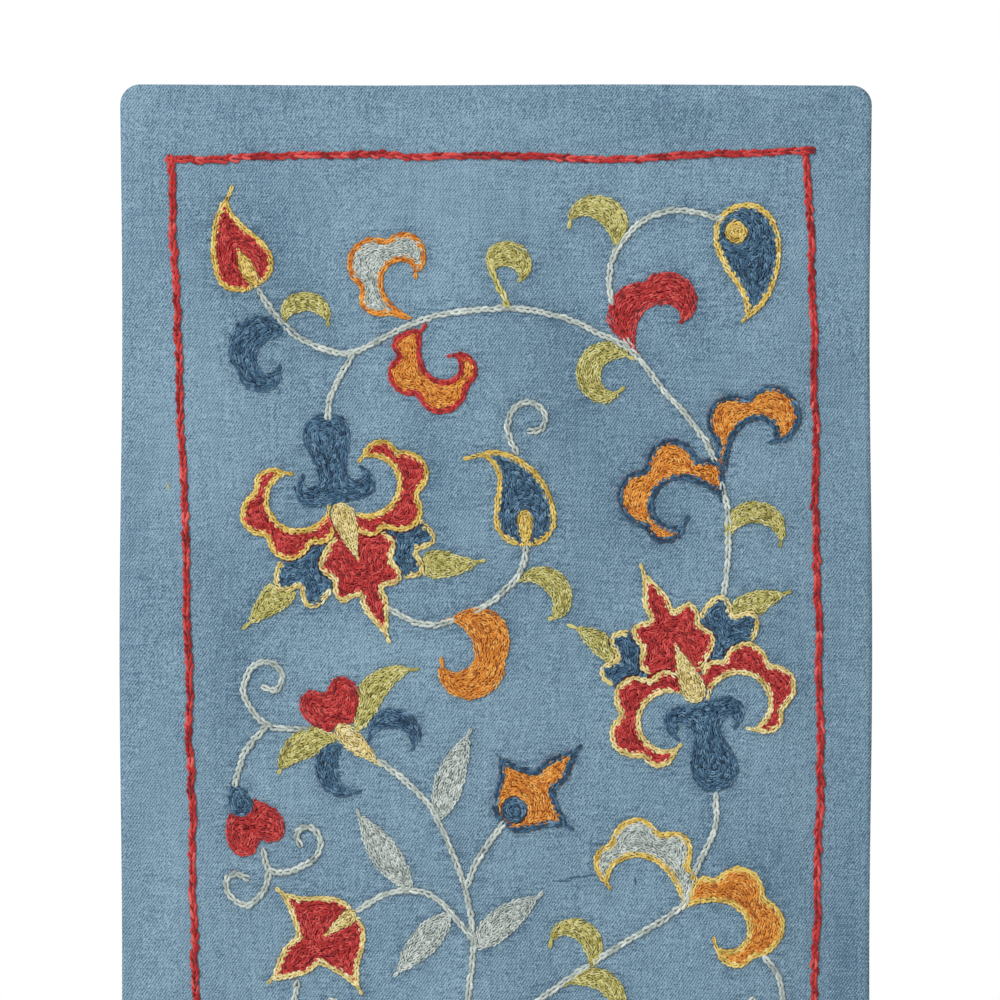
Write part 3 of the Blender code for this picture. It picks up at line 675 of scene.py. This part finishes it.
def lay_flecks(threads):
    """The loose ends of thread."""
    for fleck in rows(FLECK_COLUMNS, FLECKS):
        line = np.array([(fleck.x, -fleck.drop), (fleck.end_x, -fleck.end_drop)])
        add(threads, fleck.colour, "loose", stitched(line, "loose"))


def hang(points):
    """How far the middle of the cloth goes back at each point."""
    x, drop = points[:, 0], -points[:, 1]
    back = np.zeros(len(points))
    for fold in rows(FOLD_COLUMNS, FOLDS):
        down = ((drop - fold.start) / (LENGTH - fold.start)).clip(0, 1)
        middle = fold.x + fold.lean * drop / LENGTH
        back += fold.depth * down**FOLD_POWER * np.exp(-(((x - middle) / fold.width) ** 2))
    for crease in rows(CREASE_COLUMNS, CREASES):
        line = np.array([(crease.x, -crease.drop), (crease.end_x, -crease.end_drop)], float)
        back += crease.depth * np.exp(-((distance(points, line) / crease.width) ** 2))
    return back


def into_scene(name, data):
    made = bpy.data.objects.new(name, data)
    bpy.context.scene.collection.objects.link(made)
    return made


def make_object(name, verts, quads, tris, material):
    """A smooth mesh object of millimetre points."""
    mesh = bpy.data.meshes.new(name)
    loops = np.concatenate([quads.ravel(), tris.ravel()]).astype(np.int32)
    starts = np.concatenate([np.arange(len(quads)) * 4, len(quads) * 4 + np.arange(len(tris)) * 3])
    mesh.vertices.add(len(verts))
    mesh.vertices.foreach_set("co", (verts * MM).ravel())
    mesh.loops.add(len(loops))
    mesh.loops.foreach_set("vertex_index", loops)
    mesh.polygons.add(len(starts))
    mesh.polygons.foreach_set("loop_start", starts.astype(np.int32))
    mesh.update(calc_edges=True)
    mesh.validate()
    mesh.polygons.foreach_set("use_smooth", np.ones(len(mesh.polygons), bool))
    mesh.materials.append(material)
    made = into_scene(name, mesh)
    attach(made, "root")
    return made


def add_uv(piece, name, uv):
    layer = piece.data.uv_layers.new(name=name)
    layer.data.foreach_set("uv", uv.astype(np.float32).ravel())


def add_value(piece, name, values):
    layer = piece.data.attributes.new(name, "FLOAT", "POINT")
    layer.data.foreach_set("value", values.astype(np.float32))


def copies(faces, count, size):
    """A shape's faces for count copies of it, with size points each."""
    return (faces[None] + (np.arange(count) * size)[:, None, None]).reshape(-1, faces.shape[1])


def strand_template():
    """A strand: its points' shares along, aside and of its radius aside and up, its faces and their UVs."""
    inner, n = STRAND[1:-1], STRAND_SIDES
    turn = np.arange(n) / n * 2 * math.pi
    points = [
        (along, aside, radius * math.cos(a), height + radius * STRAND_FLAT * math.sin(a))
        for along, aside, height, radius in inner for a in turn
    ]
    points += [(along, aside, 0, height) for along, aside, height, _ in (STRAND[0], STRAND[-1])]
    quads, tris, quad_uv, tri_uv = [], [], [], []
    first, last, top, gaps = len(inner) * n, len(inner) * n + 1, (len(inner) - 1) * n, len(inner) + 1
    for i in range(len(inner) - 1):
        for j in range(n):
            k = (j + 1) % n
            quads.append((i * n + j, i * n + k, (i + 1) * n + k, (i + 1) * n + j))
            u = [(i + 1) / gaps, (i + 2) / gaps]
            v = [j / n, (j + 1) / n]
            quad_uv.append(((u[0], v[0]), (u[0], v[1]), (u[1], v[1]), (u[1], v[0])))
    for j in range(n):
        k = (j + 1) % n
        tris += [(first, k, j), (last, top + j, top + k)]
        u = [1 / gaps, len(inner) / gaps]
        tri_uv.append(((0, (j + 0.5) / n), (u[0], (j + 1) / n), (u[0], j / n)))
        tri_uv.append(((1, (j + 0.5) / n), (u[1], j / n), (u[1], (j + 1) / n)))
    return np.array(points), np.array(quads), np.array(tris), np.array(quad_uv), np.array(tri_uv)


def sewn(name, cut, ahead, places, faces, material):
    """One object of a shape repeated along stitches, with its points' places along, aside and back."""
    along, across, back = places
    aside = np.stack([-ahead[:, 1], ahead[:, 0]], 1)
    flat = cut[:, None, :2] + ahead[:, None] * along[..., None] + aside[:, None] * across[..., None]
    flat = flat.reshape(-1, 2)
    verts = np.stack([flat[:, 0], hang(flat) + back.ravel(), flat[:, 1]], 1)
    quads, tris = [copies(face, *along.shape) for face in faces]
    return make_object(name, verts, quads, tris, material)


def make_front(name, batches, material):
    """One object of a group's chain stitches, which lie on the cloth's face."""
    cut = joined(batches)
    spec = np.concatenate([np.tile(STITCHES[kind], (len(cut), 1)) for kind, cut in batches])
    spec = named(STITCH_COLUMNS, spec.T)
    count = len(cut)
    half = spec.width / 2 * dice.uniform(*UNEVEN_WIDTH, count)
    strand = spec.strand * dice.uniform(*UNEVEN_WIDTH, count)
    shared, own = dice.normal(0, 1, count), dice.normal(0, 1, (2, count))
    # spec.light darkens the outlines, stems, points and border as painted shade
    tone = (spec.light + (TONE_SHARES[0] * shared + TONE_SHARES[1] * own) * spec.spread).clip(0, 1)
    ahead = cut[:, 2:] - cut[:, :2]
    span = np.linalg.norm(ahead, axis=1)
    turned = np.arctan2(ahead[:, 1], ahead[:, 0]) + dice.normal(0, 1, count) * spec.sway
    ahead = np.stack([np.cos(turned), np.sin(turned)], 1)
    span = span * dice.uniform(*UNEVEN_LENGTH, count) * spec.overlap
    points, quads, tris, quad_uv, tri_uv = strand_template()
    across, back = [], []
    for sign in (1, -1):
        lean = dice.uniform(*UNEVEN_ASIDE, count)
        lift = dice.uniform(*UNEVEN_HEIGHT, count)
        across.append(sign * points[:, 1] * (half * lean)[:, None] + points[:, 2] * strand[:, None])
        back.append(-CLOTH / 2 - points[:, 3] * (strand * lift * spec.rise)[:, None])
    places = np.tile(points[:, 0] * span[:, None], (2, 1)), np.concatenate(across), np.concatenate(back)
    made = sewn(name, np.tile(cut, (2, 1)), np.tile(ahead, (2, 1)), places, (quads, tris), material)
    strands = 2 * count
    across_cells = int(math.ceil(math.sqrt(strands)))
    down_cells = int(math.ceil(strands / across_cells))
    cell = np.stack([np.arange(strands) % across_cells, np.arange(strands) // across_cells], 1)
    plain, atlas = [], []
    for uv in (quad_uv, tri_uv):
        uv = np.broadcast_to(uv[None], (strands,) + uv.shape)
        plain.append(uv.reshape(-1, 2))
        inset = cell[:, None, None] + BAKE_MARGIN + (1 - 2 * BAKE_MARGIN) * uv
        atlas.append((inset / [across_cells, down_cells]).reshape(-1, 2))
    add_uv(made, "strand", np.concatenate(plain))
    add_uv(made, "OFBake", np.concatenate(atlas))
    add_value(made, "tone", np.repeat(tone.ravel(), len(points)))
    return made


def make_reverse(name, batches, material):
    """One object of short plain stitches on the back of the cloth, behind a group's."""
    along, aside, up = np.array(BACK_POINTS).T
    cut = joined(batches)
    wide = np.concatenate([np.full((len(c), 1), stitch(kind).strand) for kind, c in batches])
    ahead = cut[:, 2:] - cut[:, :2]
    span = np.linalg.norm(ahead, axis=1)[:, None]
    places = along * span, aside * wide, CLOTH / 2 + up * wide - BACK_SUNK
    name = name.replace("stitches", "back").replace("border", "border_back")
    faces = np.array(BACK_QUADS), np.array(BACK_TRIS)
    made = sewn(name, cut, ahead / span, places, faces, material)
    tone = dice.normal(*BACK_TONE, len(cut)).clip(0, 1)
    add_value(made, "tone", np.repeat(tone, len(along)))
    return made


def value_noise(points, size, seed, cells=64, shift=1000):
    """Smooth noise from -1 to 1, with features of the given size."""
    grid = np.random.default_rng(seed).uniform(-1, 1, (cells, cells))
    at = points / size + shift
    cell = np.floor(at).astype(int)
    t = at - cell
    t = t * t * (3 - 2 * t)
    corner = [[grid[(cell[:, 0] + i) % cells, (cell[:, 1] + j) % cells] for j in (0, 1)] for i in (0, 1)]
    low, high = [a * (1 - t[:, 1]) + b * t[:, 1] for a, b in corner]
    return low * (1 - t[:, 0]) + high * t[:, 0]


def cloth_grid():
    """The x and the y of points over the flat cloth, with rounded corners and uneven edges."""
    turn = np.linspace(0, math.pi / 2, 9)
    corner = CORNER * (1 - np.cos(turn))
    body = np.linspace(CORNER, LENGTH - CORNER, int((LENGTH - 2 * CORNER) / CELL) + 1)
    drops = np.concatenate([corner[:-1], body, (LENGTH - corner[:-1])[::-1]])
    near_end = np.minimum(drops, LENGTH - drops).clip(0, CORNER)
    cut = CORNER - np.sqrt(CORNER**2 - (CORNER - near_end) ** 2)
    share = np.linspace(-1, 1, int(WIDTH / CELL) + 1)
    x = share[None] * (WIDTH / 2 - cut[:, None])
    y = np.repeat(-drops[:, None], len(share), axis=1)
    x = x + WOBBLE * np.sin(y / SIDE_WAVE + 0.8) * np.sign(x) * np.abs(share) ** 12
    top = (1 + y / EDGE_FADE).clip(0, 1)
    bottom = ((-y - LENGTH + EDGE_FADE) / EDGE_FADE).clip(0, 1)
    y = y + 0.4 * WOBBLE * np.sin(x / TOP_WAVE) * top
    y = y + WOBBLE * np.sin(x / BOTTOM_WAVE + 2) * bottom
    return x, y


def sheet_faces(down, across):
    """The quads of a sheet's face, back and rim, where the back's points follow the face's."""
    at = np.arange(down * across).reshape(down, across)
    face = np.stack([at[:-1, :-1], at[1:, :-1], at[1:, 1:], at[:-1, 1:]], -1).reshape(-1, 4)
    back = face[:, ::-1] + at.size
    rim = np.concatenate([at[0, :-1], at[:-1, -1], at[-1, :0:-1], at[:0:-1, 0]])
    following = np.roll(rim, -1)
    side = np.stack([rim, following, following + at.size, rim + at.size], 1)
    return np.concatenate([face, back, side])


def stitching_over(flat, shapes):
    """How far each point is outside the stitching, and the dark tone of the nearest thread, for painted shade
    under it.
    """
    outside = np.full(len(flat), 99.0)
    shaded_bed = np.tile(srgb(CLOTH_TONES[0]), (len(flat), 1))
    nearest = np.full(len(flat), -REACH)

    def close_to(line):
        return ((flat > line.min(0) - REACH) & (flat < line.max(0) + REACH)).all(1)

    for _, fill, loop in shapes:
        close = np.flatnonzero(close_to(loop))
        depth = depth_inside(flat[close], loop)
        outside[close] = np.minimum(outside[close], -depth)
        closer = close[(depth > nearest[close]) | (depth > 0)]
        shaded_bed[closer] = srgb(THREADS[fill][0])
        nearest[close] = np.maximum(nearest[close], depth)
    for _, points in STEMS:
        line = spline([(a, -b) for a, b in points], 4)
        close = close_to(line)
        outside[close] = np.minimum(outside[close], distance(flat[close], line) - STEM_HALF)
    return outside, shaded_bed


def make_cloth(shapes, material):
    """The fine sheet: a face and a back on the solid's folds, with rounded corners."""
    x, y = cloth_grid()
    flat = np.stack([x.ravel(), y.ravel()], 1)
    middle = hang(flat)
    for height, size, seed in PUCKERS:
        middle = middle + height * value_noise(flat, size, seed)
    count = len(flat)
    verts = np.concatenate([
        np.stack([flat[:, 0], middle - CLOTH / 2, flat[:, 1]], 1),
        np.stack([flat[:, 0], middle + CLOTH / 2, flat[:, 1]], 1),
    ])
    quads = sheet_faces(*x.shape)
    made = make_object("cloth", verts, quads, np.zeros((0, 3), int), material)
    u = BAKE_MIDDLE + verts[:, 0] / WIDTH * BAKE_WIDTH + np.repeat([0, 0.5], count)
    v = 1 + verts[:, 2] / LENGTH * BAKE_HEIGHT - (1 - BAKE_HEIGHT) / 2
    loops = quads.ravel()
    add_uv(made, "OFBake", np.stack([u[loops], v[loops]], 1))
    outside, shaded_bed = stitching_over(flat, shapes)
    # Painted shade: the cloth darkened along its creases, and lightened in a few places
    painted_shade = np.zeros(count)
    for spot in rows(SHADE_COLUMNS, PAINTED_SHADES):
        away = ((flat[:, 0] - spot.x) / spot.across) ** 2 + ((flat[:, 1] + spot.drop) / spot.down) ** 2
        painted_shade += spot.dark * np.exp(-away)
    add_value(made, "painted_shade", np.tile(painted_shade, 2))
    # Painted shade and puckers beside the stitching fade with this
    add_value(made, "near", np.tile(np.exp(-((outside.clip(0) / NEAR_FADE) ** 2)), 2))
    # Painted shade under the stitches: the nearest thread's dark tone, and how far the cloth turns to it
    layer = made.data.attributes.new("shaded_bed", "FLOAT_COLOR", "POINT")
    layer.data.foreach_set("color", np.tile(shaded_bed, (2, 1)).astype(np.float32).ravel())
    add_value(made, "under", np.tile(((-outside - SHADED_BED[0]) / SHADED_BED[1]).clip(0, 1), 2))
    return made


def srgb(colour):
    """Linear colour from sRGB bytes."""
    c = np.array(colour) / 255
    return tuple(np.where(c <= 0.04045, c / 12.92, ((c + 0.055) / 1.055) ** 2.4)) + (1.0,)


class Nodes:
    """The nodes of a material or a world."""

    def __init__(self, holder):
        holder.use_nodes = True
        self.tree = holder.node_tree

    def add(self, kind, inputs=(), **settings):
        node = self.tree.nodes.new("ShaderNode" + kind)
        for key, value in settings.items():
            setattr(node, key, value)
        for key, value in dict(inputs).items():
            self.put(value, node.inputs[key])
        return node

    def put(self, value, socket):
        if isinstance(value, bpy.types.NodeSocket):
            self.tree.links.new(value, socket)
        else:
            socket.default_value = value

    def math(self, operation, a, b=0.0):
        return self.add("Math", {0: a, 1: b}, operation=operation).outputs[0]

    def plus(self, a, b):
        return self.math("ADD", a, b)

    def times(self, a, b):
        return self.math("MULTIPLY", a, b)

    def swung(self, tone, value, amount):
        """A tone moved by a value's swing about one half."""
        return self.plus(tone, self.times(self.math("SUBTRACT", value, 0.5), amount))

    def wave(self, place, turns, waver=0.0):
        """A wave along a direction, of which turns says how fast it goes."""
        along = self.add("VectorMath", {0: place, 1: turns}, operation="DOT_PRODUCT").outputs["Value"]
        return self.math("SINE", self.plus(along, waver))

    def stored(self, name, output="Fac"):
        """A value that the mesh holds for each of its points."""
        return self.add("Attribute", attribute_name=name).outputs[output]

    def noise(self, vector, scale, detail=2.0, roughness=0.5):
        inputs = {"Vector": vector, "Scale": scale, "Detail": detail, "Roughness": roughness}
        return self.add("TexNoise", inputs).outputs["Fac"]

    def spread(self, value, low, high):
        """A value's range from low to high spread from 0 to 1."""
        return self.add("MapRange", {0: value, 1: low, 2: high}).outputs[0]

    def mix(self, share, a, b):
        """One colour turned into another."""
        return self.add("Mix", {0: share, 6: a, 7: b}, data_type="RGBA").outputs[2]

    def scaled(self, vector, scale):
        return self.add("VectorMath", {0: vector, 1: scale}, operation="MULTIPLY").outputs[0]

    def bump(self, height, distance_m, strength=1.0, **before):
        inputs = {"Height": height, "Distance": distance_m, "Strength": strength, **before}
        return self.add("Bump", inputs).outputs[0]


def fabric(name, roughness, sheen):
    """A dull soft material, its nodes and its shader's inputs."""
    material = bpy.data.materials.new(name)
    n = Nodes(material)
    looks = n.tree.nodes["Principled BSDF"].inputs
    looks["Roughness"].default_value = roughness
    looks["Sheen Weight"].default_value = sheen
    looks["Sheen Roughness"].default_value = 0.5
    looks["Specular IOR Level"].default_value = 0.2
    return material, n, looks


def twill():
    """Faded blue twill: diagonal ribs, uneven yarns, soft patches, puckers near the stitching painted with
    light and shade, and painted shade along the creases, beside the stitching and under it.
    """
    material, n, looks = fabric("blue_twill", 0.88, 0.12)
    place = n.add("TexCoord").outputs["Object"]
    near = n.stored("near")
    turn = 2 * math.pi / MM
    waver = n.times(n.noise(place, 200, 2), 2.6)
    rib = n.wave(place, (turn / RIB_ACROSS, 0, -turn / RIB_DOWN), waver)
    yarn = n.wave(place, (turn / YARN, 0, 0), n.times(waver, 1.3))
    weft = n.wave(place, (0, 0, turn / WEFT), n.times(waver, 1.1))
    cloth = n.plus(n.times(rib, 0.55), n.times(n.times(yarn, weft), 0.45))
    patch = n.noise(n.scaled(place, (1.0, 1.0, 0.7)), 11, 3, 0.55)
    streak = n.noise(n.scaled(place, (1.0, 1.0, 0.08)), 900, 1)
    row_streak = n.noise(n.scaled(place, (0.08, 1.0, 1.0)), 900, 1)
    speck = n.noise(place, 1300, 1, 0.7)
    tone = 0.0
    for value, amount in ((patch, 1.2), (streak, 1.0), (row_streak, 1.0), (speck, 4.6)):
        tone = n.swung(tone, value, amount)
    tone = n.plus(tone, n.times(cloth, 0.85))
    # Painted shade along the creases, and a few lighter patches
    tone = n.math("SUBTRACT", tone, n.stored("painted_shade"))
    # Puckers beside the stitching: a bump, and the same puckers painted into the colour as light and shade
    pucker = n.noise(n.scaled(place, (0.22, 1.0, 1.0)), 620, 2, 0.6)
    pucker = n.times(n.math("SUBTRACT", pucker, 0.5), n.times(near, 3.3))
    tone = n.plus(tone, pucker)
    # Painted shade: the cloth a little darker right beside the stitching
    tone = n.math("SUBTRACT", tone, n.times(near, 0.1))
    colour = n.mix(n.spread(tone, -1.0, 1.0), srgb(CLOTH_TONES[0]), srgb(CLOTH_TONES[1]))
    # Painted shade: under the stitches the cloth takes the nearest thread's dark tone
    n.put(n.mix(n.stored("under"), colour, n.stored("shaded_bed", "Color")), looks["Base Color"])
    fine = n.bump(cloth, 0.16 * MM)
    rough = n.bump(speck, 0.3 * MM, 0.6, Normal=fine)
    drawn = n.bump(pucker, 0.8 * MM, 0.8, Normal=rough)
    n.put(n.bump(n.noise(place, 60, 3), 1.6 * MM, 0.5, Normal=drawn), looks["Normal"])
    return material


def thread(name, dark, middle, light):
    """Soft two-ply thread: each stitch has its own tone, and fibres run along it."""
    material, n, looks = fabric(name + "_thread", 0.72, 0.18)
    uv = n.add("UVMap", uv_map="strand").outputs["UV"]
    place = n.add("TexCoord").outputs["Object"]
    fibre = n.noise(n.scaled(uv, (5.0, 26.0, 1.0)), 1.0, 3, 0.6)
    ply = n.wave(uv, (2 * math.pi * PLY_TURNS, 2 * math.pi * 2, 0))
    share = n.swung(n.swung(n.stored("tone"), fibre, 0.7), n.noise(place, 60, 2), 0.5)
    share = n.plus(share, n.times(ply, 0.07))
    ramp = n.add("ValToRGB", {"Fac": share})
    tones = ramp.color_ramp.elements
    tones[0].color, tones[1].color = srgb(dark), srgb(light)
    tones.new(0.5).color = srgb(middle)
    n.put(ramp.outputs["Color"], looks["Base Color"])
    twist = n.bump(ply, 0.12 * MM, 0.8)
    n.put(n.bump(fibre, 0.25 * MM, 0.8, Normal=twist), looks["Normal"])
    return material


def pale_world(low=-0.1, high=0.3, dim=0.4):
    """A pale world that is white behind the cloth and dimmer in front of it."""
    world = bpy.data.worlds.new("studio")
    bpy.context.scene.world = world
    n = Nodes(world)
    n.tree.nodes.clear()
    forwards = n.add("SeparateXYZ", {0: n.add("TexCoord").outputs["Generated"]}).outputs[1]
    strength = n.add("MapRange", {0: forwards, 1: low, 2: high, 3: dim}).outputs[0]
    white = n.add("Background", {"Color": (1, 1, 1, 1), "Strength": strength}).outputs[0]
    n.add("OutputWorld", {"Surface": white})


def key_light():
    """A soft light from the upper left."""
    key = bpy.data.lights.new("key", "AREA")
    key.energy = 205
    key.size = 1.0
    lamp = into_scene("key", key)
    lamp.location = (-2.8, -3.8, 2.6)
    aim = into_scene("aim", None)
    aim.location = (0, 0, -0.3)
    track = lamp.constraints.new("TRACK_TO")
    track.target = aim
    track.track_axis = "TRACK_NEGATIVE_Z"
    track.up_axis = "UP_Y"


def long_lens(distance_m=3.0, frame_width_m=0.6, aim_m=(0.0024, -0.249)):
    """The camera, straight in front of the photo's middle, at its scale."""
    camera = bpy.data.cameras.new("camera")
    camera.sensor_width = 36
    camera.lens = camera.sensor_width * distance_m / frame_width_m
    view = into_scene("camera", camera)
    view.location = (aim_m[0], -distance_m, aim_m[1])
    view.rotation_euler = (math.pi / 2, 0, 0)
    scene = bpy.context.scene
    scene.camera = view
    scene.view_settings.view_transform = "Standard"
    scene.view_settings.look = "None"


def pale_floor(half=3.0, z=-0.95):
    """A plain floor well below the cloth."""
    mesh = bpy.data.meshes.new("floor")
    corners = [(-half, -half, z), (half, -half, z), (half, half, z), (-half, half, z)]
    mesh.from_pydata(corners, [], [(0, 1, 2, 3)])
    material = bpy.data.materials.new("pale_floor")
    material.use_nodes = True
    shader = material.node_tree.nodes["Principled BSDF"]
    shader.inputs["Base Color"].default_value = (0.8, 0.8, 0.8, 1)
    shader.inputs["Roughness"].default_value = 0.8
    mesh.materials.append(material)
    into_scene("floor", mesh)


def main():
    shapes = motifs()
    threads = {}
    fill_motifs(shapes, threads)
    lay_stems(shapes, threads)
    lay_border(threads)
    lay_flecks(threads)
    cloth = make_cloth(shapes, twill())
    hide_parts("hanging_cloth")
    materials = {name: thread(name, *tones) for name, tones in THREADS.items()}
    for make in (make_front, make_reverse):
        for group, batches in threads.items():
            colour = group.split("_")[0]
            made = make(group, batches, materials[colour])
    pale_world()
    key_light()
    long_lens()
    pale_floor()


main()
